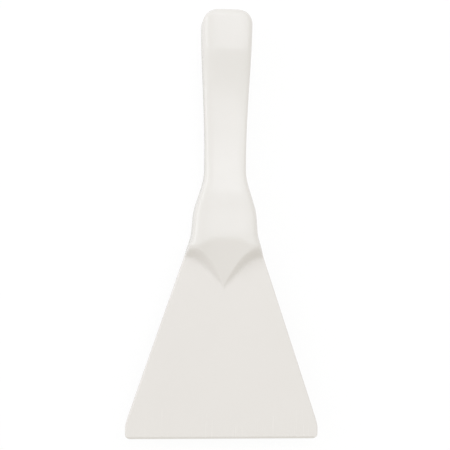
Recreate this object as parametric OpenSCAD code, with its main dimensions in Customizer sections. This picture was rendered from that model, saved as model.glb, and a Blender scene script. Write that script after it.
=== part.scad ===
// Pan scraper: a triangular plastic blade on a thick handle that is moulded over the blade's tang.
// It lies flat with +Z up. X is the width, the working edge faces -Y and the handle +Y.
// The origin is under the middle of the object, on the surface that it lies on.
// Distances along the tool are measured from the working edge, and thicknesses from the mid-plane.

/* [Blade] */
// Width of the working edge
blade_w = 114.3; // [90:0.1:140]
// Length from the working edge to the corners of the arris, where the neck starts
blade_l = 114.6; // [95:0.1:140]
// Length of the short parallel sides at the working edge
land_l = 8.5; // [5:0.5:15]
// Radius of the blade's two corners
corner_r = 3; // [1:0.5:5]
// Thickness of the blade at its root
root_t = 4.2; // [3.4:0.1:5]
// Thickness of the blade just behind its bevel
edge_t = 3; // [1.8:0.1:3.2]
// Length of the bevel at the working edge
bevel_l = 1.3; // [0.5:0.1:3]
// Thickness left at the tip of the bevel
tip_t = 0.6; // [0.4:0.1:1.2]

/* [Root] */
// Rise of the arris at the middle, above its corners
arris_rise = 3.8; // [1:0.1:6]
// Half width over which the arris rises
arris_half_w = 17; // [10:0.5:18]
// Reach of the tulip-shaped ramp from the arris corners down the blade
ramp_l = 23.5; // [15:0.1:35]
// Power of the curve along each side of the ramp: 1 is a straight side
tulip_power = 2.2; // [1.5:0.05:2.5]
// Radius of the cove beside the ramp, at the corners
cove_r = 8.5; // [4:0.5:10]
// Radius of the cove at the tip of the ramp
cove_tip_r = 1.6; // [0.8:0.1:3]

/* [Neck] */
// Width across the arris corners
root_w = 42; // [39:0.1:46]
// Length from the arris corners to the shoulder
shoulder_l = 5; // [4:0.1:8]
// Width at the shoulder
shoulder_w = 38.4; // [35:0.1:41]
// Width of the neck where it starts to narrow
neck_w = 37.2; // [33:0.1:39]
// Length from the arris corners to where the neck starts to narrow
neck_l = 14; // [10:0.5:20]
// Length over which the neck narrows to the waist
taper_l = 30; // [24:0.5:45]

/* [Grip] */
// Length from the waist to the end of the handle
grip_l = 94.4; // [80:0.1:120]
// Width at the waist
waist_w = 24; // [20:0.1:29]
// Greatest width, near the end
end_w = 29.4; // [24:0.1:36]
// Radius of the end's two corners, seen from above
end_corner_r = 8.5; // [4:0.5:10]
// Radius of the end's rounding, seen from the side
end_round_r = 4; // [2:0.5:6]
// Thickness at the neck's crest and at the end, on which the tool lies
crest_t = 25; // [20:0.5:30]
// Thickness of the grip at the bottom of its long hollow
grip_t = 14; // [12:0.1:20]
// Thickness of the neck, between the hollow and the crest
neck_t = 23; // [20:0.1:25]
// Length from the narrowing of the neck to the start of the hollow
hollow_start_l = 17; // [12:0.5:26]
// Length from the hollow to the end of the handle
hollow_end_l = 24; // [18:0.5:32]

/* [Tang] */
// Length of the tang past the middle of the arris
tang_l = 66; // [50:1:80]
// Width of the tang
tang_w = 15; // [10:0.5:16]
// Thickness of the tang
tang_t = 5; // [3:0.5:6]
// Diameter of the keying holes
key_d = 7; // [4:0.5:9]
// Number of keying holes
key_count = 3; // [1:1:4]
// Clearance between the tang and the handle
tang_gap = 0.05; // [0:0.01:0.2]

/* [Quality] */
// Steps across the upper half of a section
section_steps = 32; // [16:4:40]

/* [Hidden] */
$fn = 64;

length = blade_l + neck_l + taper_l + grip_l;
half_root = root_t / 2;
mid_z = crest_t / 2;
neck_y = blade_l + neck_l;
waist_y = neck_y + taper_l;
arris_y = blade_l + arris_rise;
ramp_tip_y = blade_l - ramp_l;
sweep_steps = 28;
end_steps = 10;
cove_steps = 8;
ramp_steps = 4;
// Height of the small step at the foot of the cove
foot_step = 0.06;
// Softness of the concave corner at the shoulder
shoulder_soft = 0.8;
// Exponent of the rounded sections: a higher one gives flatter faces and tighter corners
section_power = 6;
// Turn of the cove in degrees, just short of a quarter circle so that its wall has draft
cove_turn = 80;
// Height of the ramp's tip, as a share of its full height
tip_share = 0.05;
// Least length of the ramp, at the corners of the arris
ramp_rim = 0.5;
// Straight length of the waist, and length at full width before the end
waist_flat_l = 5;
end_flat_l = 4;
// Softness of the two ends of the hollow, as a share of its depth
hollow_soft = 0.15;
// Distances past the arris and past the neck between which the crest falls
crest_from = 2;
crest_to = 9;

// Smooth step from 0 to 1 as v goes from a to b
function ease(v, a, b) = let (u = min(1, max(0, (v - a) / (b - a)))) u * u * (3 - 2 * u);
// The larger of two values, with a soft corner
function soft_max(a, b, k) = (a + b + sqrt((a - b) * (a - b) + k * k)) / 2;

// Half width of the tool's outline above the arris corners
function flare_line(y) = root_w / 2 - (y - blade_l) * (root_w - shoulder_w) / 2 / shoulder_l;
function neck_line(y) =
    shoulder_w / 2 - (y - blade_l - shoulder_l) * (shoulder_w - neck_w) / 2 / (neck_l - shoulder_l);
function neck_half_w(y) =
    let (narrow = ease(y, neck_y, waist_y))
    soft_max(flare_line(y), neck_line(min(y, neck_y)), shoulder_soft) * (1 - narrow)
    + waist_w / 2 * narrow;
function grip_half_w(y) =
    waist_w / 2 + (end_w - waist_w) / 2 * ease(y, waist_y + waist_flat_l, length - end_flat_l);
function end_inset(y) =
    let (over = max(0, y - (length - end_corner_r)))
    end_corner_r - sqrt(max(0, end_corner_r * end_corner_r - over * over));
function half_w(y) = y < waist_y ? neck_half_w(y) : grip_half_w(y) - end_inset(y);

// The long hollow along the grip: 1 at its bottom, 0 past its ends
function hollow(y) =
    let (from = neck_y + hollow_start_l, to = length - hollow_end_l, u = (2 * y - from - to) / (to - from))
    soft_max(1 - u * u, 0, hollow_soft);

// Half thickness along the middle of the handle
function end_drop(y) =
    let (over = max(0, y - (length - end_round_r)))
    end_round_r - sqrt(max(0, end_round_r * end_round_r - over * over));
function half_t(y) =
    let (
        dip = ease(y, arris_y + crest_from, neck_y + crest_to),
        swell = ease(y, neck_y + hollow_start_l, length - hollow_end_l),
        full_t = crest_t - (crest_t - neck_t) * dip * (1 - swell)
    )
    (full_t + (grip_t - full_t) * hollow(y)) / 2 - end_drop(y);

// The arris, which rises at the middle of the tool
function arris(x) =
    let (u = min(1, abs(x) / arris_half_w))
    blade_l + arris_rise * (1 + cos(180 * u * u)) / 2;

// Half of a section: where its points lie across it, closer together at the sides, and their height
function share(i) = cos(180 * i / section_steps);
function section_x(i, y) = half_w(y) * share(i);
function section_z(i, y, t) =
    half_root + (t - half_root) * pow(1 - pow(abs(share(i)), section_power), 1 / section_power);

// One point of the handle's skin: rings near the arris follow its curve
function bend(x, y) = (arris(x) - blade_l) * (1 - ease(y, blade_l, neck_y));
function skin_point(i, y, side) =
    let (x = section_x(i, y), along = y + bend(x, y))
    [x, along, side * section_z(i, y, half_t(along))];
function ring(y) = [
    for (i = [0 : section_steps]) skin_point(i, y, 1),
    for (i = [section_steps : -1 : 0]) skin_point(i, y, -1)
];

// Stations of the rings: even along the handle, then closer round the end
function stations() =
    let (last = length - end_corner_r)
    [
        for (k = [0 : sweep_steps - 1]) blade_l + (last - blade_l) * pow(k / sweep_steps, 1.15),
        for (k = [0 : end_steps]) last + end_corner_r * sin(90 * k / end_steps)
    ];

// Faces of a grid of points, with rows of the same length that close on themselves
function wall_faces(rows, n) = [
    for (r = [0 : rows - 2], c = [0 : n - 1])
        let (a = r * n + c, b = r * n + (c + 1) % n)
        each [[a, b, b + n], [a, b + n, a + n]]
];
// Flat strips that close a ring from its upper half to its lower half
function cap_faces(start, n, flip) = [
    for (c = [0 : n / 2 - 2])
        let (a = start + c, b = start + c + 1, d = start + n - 1 - c, e = start + n - 2 - c)
        each (flip ? [[a, e, b], [a, d, e]] : [[a, b, e], [a, e, d]])
];

module place() {
    translate([0, -length / 2, mid_z])
        children();
}

module handle_skin() {
    rows = stations();
    n = 2 * (section_steps + 1);
    points = [for (y = rows) each ring(y)];
    faces = concat(
        wall_faces(len(rows), n),
        cap_faces(0, n, true),
        cap_faces((len(rows) - 1) * n, n, false)
    );
    polyhedron(points = points, faces = faces, convexity = 6);
}

// The tang grows out of the root, and the handle's plastic fills its keying holes
module tang(gap) {
    half = tang_w / 2 + gap;
    tail = arris_y + tang_l - tang_w / 2;
    pitch = (tang_l - tang_w / 2) / key_count;
    translate([0, 0, -tang_t / 2 - gap])
        linear_extrude(tang_t + 2 * gap)
            difference() {
                union() {
                    translate([-half, blade_l - 2])
                        square([2 * half, tail - blade_l + 2]);
                    translate([0, tail])
                        circle(r = half);
                }
                for (k = [1 : key_count])
                    translate([0, tail - (k - 1) * pitch])
                        circle(r = key_d / 2 - gap);
            }
}

// Half thickness of the plate, which thins towards the working edge
function face_z(y) =
    edge_t / 2 + (half_root - edge_t / 2) * min(1, (y - bevel_l) / (blade_l - bevel_l));

// Side of the ramp at a place x across the tool: where it lies, and how it slants
function from_side(x) = 1 - abs(x) / half_w(blade_l);
function side_line(x) = ramp_tip_y + (ramp_l - ramp_rim) * (1 - pow(from_side(x), tulip_power));
function side_slope(x) =
    (ramp_l - ramp_rim) * tulip_power * pow(from_side(x), tulip_power - 1) / half_w(blade_l);

// Height of the ramp above the plate, which grows from its tip to the arris
function crown(i) = section_z(i, blade_l, half_t(arris(section_x(i, blade_l)))) - half_root;
function ramp_height(i, y) =
    let (climb = (y - ramp_tip_y) / (arris(section_x(i, blade_l)) - ramp_tip_y))
    crown(i) * (tip_share + (1 - tip_share) * climb);

// Radius of the cove, and its length measured along the tool
function cove_radius(y) = cove_tip_r + (cove_r - cove_tip_r) * (y - ramp_tip_y) / ramp_l;
function cove_run(x, y) = cove_radius(y) * sqrt(1 + side_slope(x) * side_slope(x));

// One column of points of the root, from the foot of the cove, up the cove and along the ramp
function root_column(i) =
    let (
        x = section_x(i, blade_l),
        side_y = side_line(x),
        run = cove_run(x, side_y),
        wall_h = ramp_height(i, side_y),
        top_y = arris(x)
    )
    [
        for (k = [0 : cove_steps])
            let (
                turn = cove_turn * k / cove_steps,
                y = side_y - run * (1 - sin(turn) / sin(cove_turn)),
                rise = (1 - cos(turn)) / (1 - cos(cove_turn))
            )
            [x, y, face_z(y) + wall_h * rise + foot_step * (1 - k / cove_steps)],
        for (k = [1 : ramp_steps])
            let (y = side_y + (top_y - side_y) * k / ramp_steps)
            [x, y, face_z(y) + ramp_height(i, y)]
    ];

// The raised root on both faces. Its outermost columns have no height, so it stops one step short
module root() {
    columns = [
        for (i = [1 : section_steps - 1])
            let (top = root_column(i))
            concat(top, [for (k = [len(top) - 1 : -1 : 0]) [top[k].x, top[k].y, -top[k].z]])
    ];
    n = len(columns[0]);
    faces = concat(
        wall_faces(len(columns), n),
        cap_faces(0, n, true),
        cap_faces((len(columns) - 1) * n, n, false)
    );
    polyhedron(
        points = [for (column = columns) each column],
        faces = [for (face = faces) [face[2], face[1], face[0]]],
        convexity = 6
    );
}

module blade_outline() {
    top = [for (i = [0 : section_steps]) let (x = section_x(i, blade_l)) [x, arris(x)]];
    polygon(concat(
        [
            [-blade_w / 2, land_l],
            [-blade_w / 2, corner_r],
            [-blade_w / 2 + corner_r, 0],
            [blade_w / 2 - corner_r, 0],
            [blade_w / 2, corner_r],
            [blade_w / 2, land_l]
        ],
        top
    ));
    for (side = [-1, 1])
        translate([side * (blade_w / 2 - corner_r), corner_r])
            circle(r = corner_r);
}

// Side view of the plate, which thins towards the working edge and ends in a bevel
module blade_side() {
    half = [
        [0, tip_t / 2],
        [bevel_l, edge_t / 2],
        [blade_l, half_root],
        [arris_y + 1, half_root]
    ];
    polygon(concat(half, [for (k = [len(half) - 1 : -1 : 0]) [half[k].x, -half[k].y]]));
}

module plate() {
    intersection() {
        translate([0, 0, -root_t])
            linear_extrude(2 * root_t)
                blade_outline();
        rotate([90, 0, 90])
            translate([0, 0, -blade_w])
                linear_extrude(2 * blade_w)
                    blade_side();
    }
}

module blade() {
    color("whitesmoke")
        place()
            union() {
                plate();
                root();
                tang(0);
            }
}

module handle() {
    color("ghostwhite")
        place()
            difference() {
                handle_skin();
                tang(tang_gap);
            }
}

blade();
handle();
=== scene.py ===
import math

import bpy
from mathutils import Matrix, Vector


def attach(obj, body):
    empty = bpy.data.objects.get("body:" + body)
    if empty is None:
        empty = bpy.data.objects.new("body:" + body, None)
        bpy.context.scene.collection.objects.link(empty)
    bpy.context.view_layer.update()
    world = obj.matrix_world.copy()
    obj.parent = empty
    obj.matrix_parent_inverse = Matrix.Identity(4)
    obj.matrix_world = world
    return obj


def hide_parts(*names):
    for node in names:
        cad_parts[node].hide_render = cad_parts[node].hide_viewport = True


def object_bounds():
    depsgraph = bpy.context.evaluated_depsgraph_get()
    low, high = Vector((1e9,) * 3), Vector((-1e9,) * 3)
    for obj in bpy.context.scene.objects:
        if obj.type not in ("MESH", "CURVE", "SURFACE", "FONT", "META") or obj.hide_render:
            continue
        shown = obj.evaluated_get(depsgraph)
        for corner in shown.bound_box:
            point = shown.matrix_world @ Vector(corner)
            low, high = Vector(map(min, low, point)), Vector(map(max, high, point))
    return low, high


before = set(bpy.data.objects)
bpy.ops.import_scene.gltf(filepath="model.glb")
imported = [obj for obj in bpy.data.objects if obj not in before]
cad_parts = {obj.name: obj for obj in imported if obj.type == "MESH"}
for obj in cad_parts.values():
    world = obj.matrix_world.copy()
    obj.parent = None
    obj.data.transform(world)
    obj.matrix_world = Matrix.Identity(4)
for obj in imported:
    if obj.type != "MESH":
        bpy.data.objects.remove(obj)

CAD_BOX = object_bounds()
MM = 0.001

# The tool's driving sizes, in millimetres. Distances along it are measured from the working edge,
# and heights from the mid-plane.
BLADE_W, LENGTH = ((hi - lo) / MM for lo, hi in zip(CAD_BOX[0][:2], CAD_BOX[1][:2]))
CREST_T = 25.0
MID_Z = CREST_T / 2
BLADE_L = 114.6
LAND_L = 8.5
CORNER_R = 3.0
ROOT_T, EDGE_T, TIP_T = 4.2, 3.0, 0.6
BEVEL_L = 1.3
ARRIS_RISE, ARRIS_HALF_W = 3.8, 17.0
RAMP_L, RAMP_RIM, TIP_SHARE, TULIP_POWER = 23.5, 0.5, 0.05, 2.2
COVE_R, COVE_TIP_R = 8.5, 1.6
ROOT_W, SHOULDER_L, SHOULDER_W, SHOULDER_SOFT = 42.0, 5.0, 38.4, 0.8
NECK_L, NECK_W = 14.0, 37.2
TAPER_L, WAIST_W, WAIST_FLAT_L = 30.0, 24.0, 5.0
END_W, END_FLAT_L, END_CORNER_R, END_ROUND_R = 29.4, 4.0, 8.5, 4.0
GRIP_T, NECK_T = 14.0, 23.0
HOLLOW_START_L, HOLLOW_END_L, HOLLOW_SOFT = 17.0, 24.0, 0.15
CREST_FROM, CREST_TO = 2.0, 9.0
SECTION_POWER = 6.0
# Softness of the arris and of the bevel, as the height over which two faces blend. The arris sharpens
# towards its corners, to the least softness there
ARRIS_SOFT, ARRIS_SOFT_LEAST, ARRIS_FADE_POWER = 0.6, 0.01, 8
BEVEL_SOFT = 0.08
# Radius of the rounded outline of the plate, which runs out towards the root, and its least half thickness
RIM_R, RIM_FADE_L = 0.8, 8.0
RIM_LEAST = TIP_T / 4

HALF_ROOT = ROOT_T / 2
NECK_Y = BLADE_L + NECK_L
WAIST_Y = NECK_Y + TAPER_L
RAMP_TIP_Y = BLADE_L - RAMP_L
HOLLOW_FROM = NECK_Y + HOLLOW_START_L
HOLLOW_TO = LENGTH - HOLLOW_END_L

# Columns of faces across the tool, and rows along each stretch of it
COLUMNS = 96
BEVEL_ROWS, CORNER_ROWS, PLATE_ROWS, COVE_ROWS, RAMP_ROWS = 10, 8, 24, 22, 20
NECK_ROWS, GRIP_ROWS, END_ROWS = 44, 70, 16
# Power that draws the neck's rows together at the arris
NECK_ROW_POWER = 1.5
# Vertices nearer than this are one, and faces that meet at less than this angle are shaded smooth
MERGE_MM, SMOOTH_DEGREES = 0.002, 35

# Share of the root's half width past which the plate's columns spread to its outline
FAN_RIM = 0.9

# The photograph's camera: how far it stands from the tool, its lean to the left and its roll
CAMERA_AWAY = 650.0
CAMERA_LEAN, CAMERA_SIDE, CAMERA_ROLL = 5.16, -83.0, 0.664
PHOTO_PX = 450
PX_PER_MM = 1.686
TOOL_PX = (224.2, 224.9)

# Texture scales, for metres, and the heights in metres and strengths of the reliefs
CLOUD_SCALE, SATIN_SCALE, WAVE_SCALE, GRAIN_SCALE, SCRATCH_SCALE = 24, 160, 30, 1500, 1100
WAVE_RELIEF, GRAIN_RELIEF = (0.00022, 1), (0.00008, 0.14)
PARTING_RELIEF, SCRATCH_RELIEF = (0.00006, 1), (0.00001, 0.35)
# Distances from the mid-plane, in metres, between which the parting line fades out
PARTING_FROM, PARTING_TO = 0.00012, 0.00025
# The scratches: how much they are drawn out, their slant in degrees, how far they reach from the
# working edge in metres and how much rougher they are
SCRATCH_STRETCH, SCRATCH_SLANT, SCRATCH_REACH, SCRATCH_DULL = 0.035, 4, 0.028, 0.15
PLASTIC_IOR = 1.49
PLASTIC_ROUGHNESS = (0.17, 0.25)
# Light and dark tone of the plastic of each piece
BLADE_TONES = (0.83, 0.8, 0.775), (0.815, 0.785, 0.76)
HANDLE_TONES = (0.825, 0.8, 0.775), (0.81, 0.785, 0.76)

# The studio's square lights: name, tilt off the vertical and turn from +Y towards -X in degrees, side in
# metres and power in watts. They stand this far from the tool, in metres
LIGHTS = (
    ("top_window", 42, 0, 0.9, 2.6),
    ("left_window", 58, 72, 1.1, 6.0),
    ("right_window", 30, -50, 1.0, 2.8),
    ("crest_softbox", 7.5, -48, 0.3, 0.4),
    ("neck_softbox", 21, -13, 0.4, 0.6),
)
LIGHT_AWAY = 1.6
LIGHT_TINT = (0.86, 0.9, 1.0)
WORLD_LEVEL, WORLD_TINT = 0.74, (1.0, 0.99, 0.93, 1)
WHITE = (1, 1, 1, 1)
# Side of the floor in metres, and how it shows as white to the camera
FLOOR_SIZE, FLOOR_TONE = 8, (0.9, 0.9, 0.9, 1)
FLOOR_GLOW_SHARE, FLOOR_GLOW = 0.9, 1.02


def ease(v, a, b):
    """Smooth step from 0 to 1 as v goes from a to b."""
    u = min(1.0, max(0.0, (v - a) / (b - a)))
    return u * u * (3 - 2 * u)


def wave(v):
    """A softer and steeper step from 0 to 1 as v goes from 0 to 1."""
    u = min(1.0, max(0.0, v))
    return u * u * u * (u * (6 * u - 15) + 10)


def soft_max(a, b, k):
    return (a + b + math.sqrt((a - b) ** 2 + k * k)) / 2


def soft_min(a, b, k):
    """The smaller of a and b, blended where they are less than k apart."""
    near = max(0.0, k - abs(a - b)) / k
    return min(a, b) - near * near * k / 4


def lerp(a, b, t):
    return a + (b - a) * t


def quarter_drop(over, radius):
    """How far a quarter circle has fallen, this far over its start."""
    over = min(radius, max(0.0, over))
    return radius - math.sqrt(radius * radius - over * over)


# Outline


def neck_half_w(y):
    flare = ROOT_W / 2 - (y - BLADE_L) * (ROOT_W - SHOULDER_W) / 2 / SHOULDER_L
    past = min(y, NECK_Y) - BLADE_L - SHOULDER_L
    neck = SHOULDER_W / 2 - past * (SHOULDER_W - NECK_W) / 2 / (NECK_L - SHOULDER_L)
    return lerp(soft_max(flare, neck, SHOULDER_SOFT), WAIST_W / 2, ease(y, NECK_Y, WAIST_Y))


def grip_half_w(y):
    swell = ease(y, WAIST_Y + WAIST_FLAT_L, LENGTH - END_FLAT_L)
    return lerp(WAIST_W, END_W, swell) / 2 - quarter_drop(y - (LENGTH - END_CORNER_R), END_CORNER_R)


def blade_half_w(y):
    root = neck_half_w(BLADE_L)
    flare = BLADE_W / 2 + (root - BLADE_W / 2) * max(0.0, y - LAND_L) / (BLADE_L - LAND_L)
    return flare - quarter_drop(CORNER_R - y, CORNER_R)


def half_w(y):
    if y < BLADE_L:
        return blade_half_w(y)
    return neck_half_w(y) if y < WAIST_Y else grip_half_w(y)


# Thickness


def hollow(y):
    """The long hollow along the grip: 1 at its bottom, 0 past its ends."""
    u = (2 * y - HOLLOW_FROM - HOLLOW_TO) / (HOLLOW_TO - HOLLOW_FROM)
    return soft_max(1 - u * u, 0, HOLLOW_SOFT)


def half_t(y):
    """Half thickness along the middle of the handle."""
    dip = ease(y, BLADE_L + ARRIS_RISE + CREST_FROM, NECK_Y + CREST_TO)
    dip *= 1 - ease(y, HOLLOW_FROM, HOLLOW_TO)
    full_t = CREST_T - (CREST_T - NECK_T) * dip
    t = full_t + (GRIP_T - full_t) * hollow(y)
    return t / 2 - quarter_drop(y - (LENGTH - END_ROUND_R), END_ROUND_R)


def face_z(y):
    """Half thickness of the plate, which thins towards the working edge and ends in a bevel."""
    plate = lerp(EDGE_T, ROOT_T, min(1.0, (y - BEVEL_L) / (BLADE_L - BEVEL_L))) / 2
    return soft_min(plate, lerp(TIP_T, EDGE_T, y / BEVEL_L) / 2, BEVEL_SOFT)


def dome(c, y):
    """Height of the handle's rounded section, at a share c of its half width."""
    crown = max(0.0, 1 - abs(c) ** SECTION_POWER) ** (1 / SECTION_POWER)
    return HALF_ROOT + (half_t(y) - HALF_ROOT) * crown


# Root


def arris(c):
    """Where the curved edge between neck and root lies, at a share c of the half width."""
    u = min(1.0, abs(c) * neck_half_w(BLADE_L) / ARRIS_HALF_W)
    return BLADE_L + ARRIS_RISE * (1 + math.cos(math.pi * u * u)) / 2


def side_line(c):
    """Where the side of the ramp lies."""
    return RAMP_TIP_Y + (RAMP_L - RAMP_RIM) * (1 - (1 - abs(c)) ** TULIP_POWER)


def cove_run(c):
    """Length of the cove along the tool, longer where the side of the ramp slants."""
    slope = (RAMP_L - RAMP_RIM) * TULIP_POWER * (1 - abs(c)) ** (TULIP_POWER - 1)
    slope /= neck_half_w(BLADE_L)
    radius = lerp(COVE_TIP_R, COVE_R, (side_line(c) - RAMP_TIP_Y) / RAMP_L)
    return radius * math.hypot(1, slope)


def ramp_height(c, y):
    crown = dome(c, arris(c)) - HALF_ROOT
    climb = max(0.0, (y - RAMP_TIP_Y) / (arris(c) - RAMP_TIP_Y))
    return crown * lerp(TIP_SHARE, 1, climb)


def front(c, y):
    """Height of the root's front: the ramp, which falls to the plate in one soft wave at its sides."""
    climb = (y - side_line(c)) / cove_run(c) + 1
    return face_z(y) + ramp_height(c, y) * wave(climb)


def top_z(c, y):
    soft = ARRIS_SOFT * (1 - abs(c) ** ARRIS_FADE_POWER) + ARRIS_SOFT_LEAST
    return soft_min(dome(c, y), front(c, y), soft)


# Sheets of faces for the upper face of each piece


def share(column):
    """Share of the half width at a column: even in the middle and close together at the sides."""
    return math.cos(math.pi * column / COLUMNS)


def blade_rows(c):
    """Distances of the rows from the working edge, at a share c of the half width."""
    foot, side, top = side_line(c) - cove_run(c), side_line(c), arris(c)
    bevel = [BEVEL_L * k / BEVEL_ROWS for k in range(BEVEL_ROWS)]
    corner = [lerp(BEVEL_L, CORNER_R, k / CORNER_ROWS) for k in range(CORNER_ROWS)]
    plate = [lerp(CORNER_R, foot, k / PLATE_ROWS) for k in range(PLATE_ROWS)]
    cove = [lerp(foot, side, k / COVE_ROWS) for k in range(COVE_ROWS)]
    ramp = [lerp(side, top, math.sin(math.pi / 2 * k / RAMP_ROWS)) for k in range(RAMP_ROWS + 1)]
    return bevel + corner + plate + cove + ramp


def handle_rows():
    last = LENGTH - END_CORNER_R
    neck = [lerp(BLADE_L, WAIST_Y, (k / NECK_ROWS) ** NECK_ROW_POWER) for k in range(NECK_ROWS)]
    grip = [lerp(WAIST_Y, last, k / GRIP_ROWS) for k in range(GRIP_ROWS)]
    end = [last + END_CORNER_R * math.sin(math.pi / 2 * k / END_ROWS) for k in range(END_ROWS + 1)]
    return neck + grip + end


def fan(c, y):
    """How far a column has moved towards its share of the plate's width: hardly in the root."""
    foot = side_line(c) - cove_run(c)
    rim = max(0.0, (abs(c) - FAN_RIM) / (1 - FAN_RIM)) ** 2
    return lerp(rim, abs(c), ease(foot - y, 0, foot - CORNER_R))


def blade_point(column, row):
    c = share(column)
    y = blade_rows(c)[row]
    root = half_w(BLADE_L)
    outline = half_w(min(y, BLADE_L))
    x = abs(c) * root + (outline - root) * fan(c, y)
    if y < CORNER_R:
        x = abs(c) * outline
    rim_r = RIM_R * (1 - ease(y, BLADE_L - RIM_FADE_L, BLADE_L))
    drop = quarter_drop(rim_r - (outline - x), rim_r)
    return math.copysign(x, c), y, max(top_z(c, y) - drop, RIM_LEAST)


def handle_point(column, row):
    c = share(column)
    y = handle_rows()[row]
    along = y + (arris(c) - BLADE_L) * (1 - ease(y, BLADE_L, NECK_Y))
    return c * half_w(y), along, top_z(c, along)


def sheet(name, rows, point):
    """A grid of faces, bent to the upper face of a piece, with its origin on the tool's mid-plane."""
    bpy.ops.object.select_all(action="DESELECT")
    bpy.ops.mesh.primitive_grid_add(x_subdivisions=COLUMNS, y_subdivisions=rows, size=1)
    piece = bpy.context.object
    piece.name = piece.data.name = name
    for vert in piece.data.vertices:
        row, column = divmod(vert.index, COLUMNS + 1)
        x, along, z = point(column, row)
        vert.co = Vector((x, along - LENGTH / 2, z)) * MM
    piece.location = (0, 0, MID_Z * MM)
    return piece


def close_piece(piece):
    """Drops a wall from the rim to the mid-plane, and mirrors the half to the under face."""
    bpy.ops.object.mode_set(mode="EDIT")
    bpy.ops.mesh.select_all(action="SELECT")
    bpy.ops.mesh.normals_make_consistent(inside=False)
    bpy.ops.mesh.region_to_loop()
    bpy.ops.mesh.extrude_edges_move()
    bpy.ops.transform.resize(value=(1, 1, 0), center_override=piece.location)
    bpy.ops.object.mode_set(mode="OBJECT")
    mirror = piece.modifiers.new("under face", "MIRROR")
    mirror.use_axis = (False, False, True)
    mirror.merge_threshold = MERGE_MM * MM
    bpy.ops.object.modifier_apply(modifier=mirror.name)
    bpy.ops.object.mode_set(mode="EDIT")
    bpy.ops.mesh.select_all(action="SELECT")
    bpy.ops.mesh.remove_doubles(threshold=MERGE_MM * MM)
    bpy.ops.mesh.normals_make_consistent(inside=False)
    bpy.ops.object.mode_set(mode="OBJECT")
    bpy.ops.object.transform_apply(location=True, rotation=False, scale=False)
    bpy.ops.object.shade_smooth_by_angle(angle=math.radians(SMOOTH_DEGREES))


# Materials


def new_material(name):
    material = bpy.data.materials.new(name)
    material.use_nodes = True
    return material, material.node_tree.nodes, material.node_tree.links


def set_inputs(node, values):
    for socket, value in values.items():
        node.inputs[socket].default_value = value
    return node


def noise(nodes, links, place, scale, detail):
    texture = set_inputs(nodes.new("ShaderNodeTexNoise"), {"Scale": scale, "Detail": detail})
    links.new(place, texture.inputs["Vector"])
    return texture.outputs["Fac"]


def level(nodes, links, source, values):
    """The source value, stretched from one range to another."""
    stretch = set_inputs(nodes.new("ShaderNodeMapRange"), values)
    links.new(source, stretch.inputs["Value"])
    return stretch.outputs["Result"]


def combine(nodes, links, operation, first, second):
    math_node = nodes.new("ShaderNodeMath")
    math_node.operation = operation
    links.new(first, math_node.inputs[0])
    links.new(second, math_node.inputs[1])
    return math_node.outputs["Value"]


def relief(nodes, links, height, size, under=None):
    """A bump of a height in metres and a strength, laid over another bump."""
    bump = set_inputs(nodes.new("ShaderNodeBump"), {"Distance": size[0], "Strength": size[1]})
    links.new(height, bump.inputs["Height"])
    if under:
        links.new(under, bump.inputs["Normal"])
    return bump.outputs["Normal"]


def parting_line(nodes, links, along_z):
    """1 on a thin line at the mid-plane, where the two halves of the mould met."""
    shift = nodes.new("ShaderNodeMath")
    shift.operation = "SUBTRACT"
    shift.inputs[1].default_value = MID_Z * MM
    links.new(along_z, shift.inputs[0])
    away = nodes.new("ShaderNodeMath")
    away.operation = "ABSOLUTE"
    links.new(shift.outputs["Value"], away.inputs[0])
    fade = {"From Min": PARTING_FROM, "From Max": PARTING_TO, "To Min": 1, "To Max": 0}
    return level(nodes, links, away.outputs["Value"], fade)


def scratches(nodes, links, place, along_y):
    """Short fine scratches along the tool, only near the working edge."""
    stretch = nodes.new("ShaderNodeMapping")
    stretch.inputs["Scale"].default_value = (1.0, SCRATCH_STRETCH, 1.0)
    stretch.inputs["Rotation"].default_value = (0, 0, math.radians(SCRATCH_SLANT))
    links.new(place, stretch.inputs["Vector"])
    marks = noise(nodes, links, stretch.outputs["Vector"], SCRATCH_SCALE, 2)
    thin = level(nodes, links, marks, {"From Min": 0.62, "From Max": 0.7})
    edge = -LENGTH / 2 * MM
    fade = {"From Min": edge, "From Max": edge + SCRATCH_REACH, "To Min": 1, "To Max": 0}
    return combine(nodes, links, "MULTIPLY", thin, level(nodes, links, along_y, fade))


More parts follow.
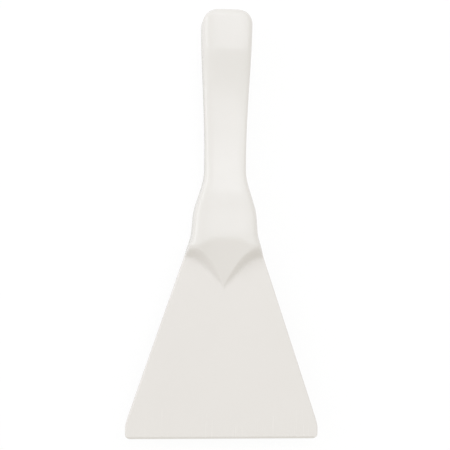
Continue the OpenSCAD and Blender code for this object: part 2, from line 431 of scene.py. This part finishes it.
def moulded_plastic(name, tones, used_edge):
    """Satin white plastic: slightly cloudy, with soft waves, a fine moulded grain and a parting line."""
    material, nodes, links = new_material(name)
    shader = nodes["Principled BSDF"]
    shader.inputs["IOR"].default_value = PLASTIC_IOR
    place = nodes.new("ShaderNodeTexCoord").outputs["Object"]
    split = nodes.new("ShaderNodeSeparateXYZ")
    links.new(place, split.inputs["Vector"])

    cloud = noise(nodes, links, place, CLOUD_SCALE, 2)
    tint = nodes.new("ShaderNodeValToRGB")
    tint.color_ramp.elements[0].position = 0.2
    tint.color_ramp.elements[1].position = 0.8
    tint.color_ramp.elements[0].color = (*tones[1], 1)
    tint.color_ramp.elements[1].color = (*tones[0], 1)
    links.new(cloud, tint.inputs["Fac"])
    links.new(tint.outputs["Color"], shader.inputs["Base Color"])

    satin = noise(nodes, links, place, SATIN_SCALE, 4)
    low, high = PLASTIC_ROUGHNESS
    rough = level(nodes, links, satin, {"From Min": 0.3, "From Max": 0.7, "To Min": low, "To Max": high})
    normal = relief(nodes, links, noise(nodes, links, place, WAVE_SCALE, 1), WAVE_RELIEF)
    normal = relief(nodes, links, noise(nodes, links, place, GRAIN_SCALE, 3), GRAIN_RELIEF, normal)
    seam = parting_line(nodes, links, split.outputs["Z"])
    normal = relief(nodes, links, seam, PARTING_RELIEF, normal)
    if used_edge:
        marks = scratches(nodes, links, place, split.outputs["Y"])
        normal = relief(nodes, links, marks, SCRATCH_RELIEF, normal)
        duller = level(nodes, links, marks, {"To Min": 0, "To Max": SCRATCH_DULL})
        rough = combine(nodes, links, "ADD", rough, duller)
    links.new(rough, shader.inputs["Roughness"])
    links.new(normal, shader.inputs["Normal"])
    return material


def floor_paper():
    """White paper that keeps the shadow and shows as white to the camera."""
    material, nodes, links = new_material("floor_paper")
    paper = {"Base Color": FLOOR_TONE, "Roughness": 0.9, "Specular IOR Level": 0}
    shader = set_inputs(nodes["Principled BSDF"], paper)
    glow = set_inputs(nodes.new("ShaderNodeEmission"), {"Color": WHITE, "Strength": FLOOR_GLOW})
    seen = nodes.new("ShaderNodeLightPath").outputs["Is Camera Ray"]
    mix = nodes.new("ShaderNodeMixShader")
    links.new(level(nodes, links, seen, {"To Max": FLOOR_GLOW_SHARE}), mix.inputs["Fac"])
    links.new(shader.outputs["BSDF"], mix.inputs[1])
    links.new(glow.outputs["Emission"], mix.inputs[2])
    links.new(mix.outputs["Shader"], nodes["Material Output"].inputs["Surface"])
    return material


# Pieces


def make_blade():
    piece = sheet("blade_plate", len(blade_rows(0)) - 1, blade_point)
    close_piece(piece)
    piece.data.materials.append(moulded_plastic("blade_plastic", BLADE_TONES, used_edge=True))
    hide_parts("blade")
    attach(piece, "root")


def make_handle():
    piece = sheet("grip_and_neck", len(handle_rows()) - 1, handle_point)
    close_piece(piece)
    piece.data.materials.append(moulded_plastic("handle_plastic", HANDLE_TONES, used_edge=False))
    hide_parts("handle")
    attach(piece, "root")


# Studio


def add_floor():
    bpy.ops.mesh.primitive_plane_add(size=FLOOR_SIZE)
    floor = bpy.context.object
    floor.name = "floor"
    floor.data.materials.append(floor_paper())


def add_light(name, tilt, turn, size, energy):
    """A square soft light, aimed at the tool."""
    tilt, turn = math.radians(tilt), math.radians(turn)
    away = Vector((-math.sin(turn) * math.sin(tilt), math.cos(turn) * math.sin(tilt), math.cos(tilt)))
    lamp = bpy.data.lights.new(name, "AREA")
    lamp.size, lamp.energy = size, energy
    lamp.color = LIGHT_TINT
    light = bpy.data.objects.new(name, lamp)
    light.location = away * LIGHT_AWAY
    light.rotation_euler = (-away).to_track_quat("-Z", "Y").to_euler()
    bpy.context.collection.objects.link(light)


def light_world():
    """An even, slightly warm light from all round, which shows as white to the camera."""
    world = bpy.data.worlds.new("studio")
    bpy.context.scene.world = world
    world.use_nodes = True
    nodes, links = world.node_tree.nodes, world.node_tree.links
    sky = nodes["Background"]
    seen = nodes.new("ShaderNodeLightPath").outputs["Is Camera Ray"]
    tint = nodes.new("ShaderNodeMix")
    tint.data_type = "RGBA"
    set_inputs(tint, {"A": WORLD_TINT, "B": WHITE})
    links.new(seen, tint.inputs["Factor"])
    links.new(level(nodes, links, seen, {"To Min": WORLD_LEVEL}), sky.inputs["Strength"])
    links.new(tint.outputs["Result"], sky.inputs["Color"])


def light_studio():
    for light in LIGHTS:
        add_light(*light)
    light_world()
    bpy.context.scene.view_settings.view_transform = "Standard"


def add_camera():
    lean, side, roll = (math.radians(a) for a in (CAMERA_LEAN, CAMERA_SIDE, CAMERA_ROLL))
    back = Vector((math.sin(side) * math.sin(lean), -math.cos(side) * math.sin(lean), math.cos(lean)))
    right = Vector((0, 1, 0)).cross(back).normalized()
    up = back.cross(right)
    right, up = (
        right * math.cos(roll) + up * math.sin(roll),
        up * math.cos(roll) - right * math.sin(roll),
    )
    centre = Vector((0, 0, MID_Z))
    centre += right * (PHOTO_PX / 2 - TOOL_PX[0]) / PX_PER_MM
    centre -= up * (PHOTO_PX / 2 - TOOL_PX[1]) / PX_PER_MM
    data = bpy.data.cameras.new("camera")
    data.sensor_width = 36
    data.lens = 36 * CAMERA_AWAY * PX_PER_MM / PHOTO_PX
    camera = bpy.data.objects.new("camera", data)
    turned = Matrix((right, up, back)).transposed()
    camera.matrix_world = Matrix.LocRotScale((centre + back * CAMERA_AWAY) * MM, turned.to_quaternion(), None)
    bpy.context.collection.objects.link(camera)
    bpy.context.scene.camera = camera


add_camera()
light_studio()
add_floor()
make_blade()
make_handle()
